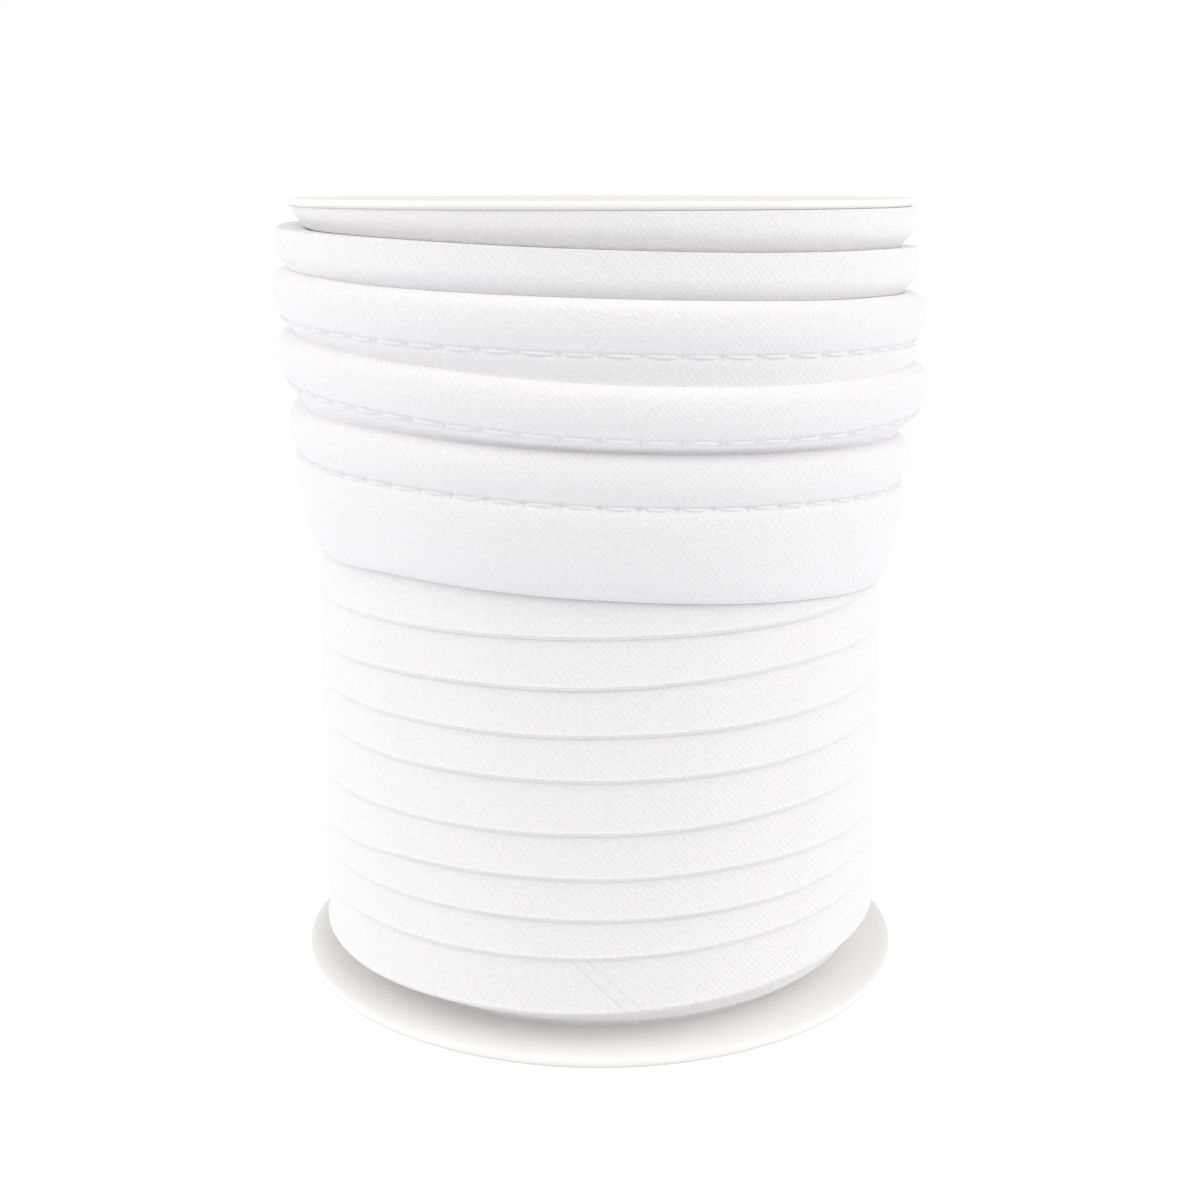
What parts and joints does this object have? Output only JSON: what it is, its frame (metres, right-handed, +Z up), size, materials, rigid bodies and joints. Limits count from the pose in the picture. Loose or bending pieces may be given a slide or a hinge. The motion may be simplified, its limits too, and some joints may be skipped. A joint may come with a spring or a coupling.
{
  "type": "roll of bias piping",
  "caption": "White bias piping wound between thin card discs: corded turns near the top, overlapping flat flanges below. It stands on its lower disc.",
  "frame": {"origin": "middle of the lower disc's underside, on the surface that the roll stands on", "axes": "+Z up along the roll's axis, -Y towards the picture's viewer"},
  "size_m": [0.0679, 0.0673, 0.0806],
  "materials": {
    "piping_cloth": "matt bias-cut plain weave, white, with white stitches",
    "disc_card": "smooth warm white card"
  },
  "bodies": {
    "root": {"winding": "piping_cloth", "disc_bottom": "disc_card", "disc_top": "disc_card"}
  },
  "joints": []
}
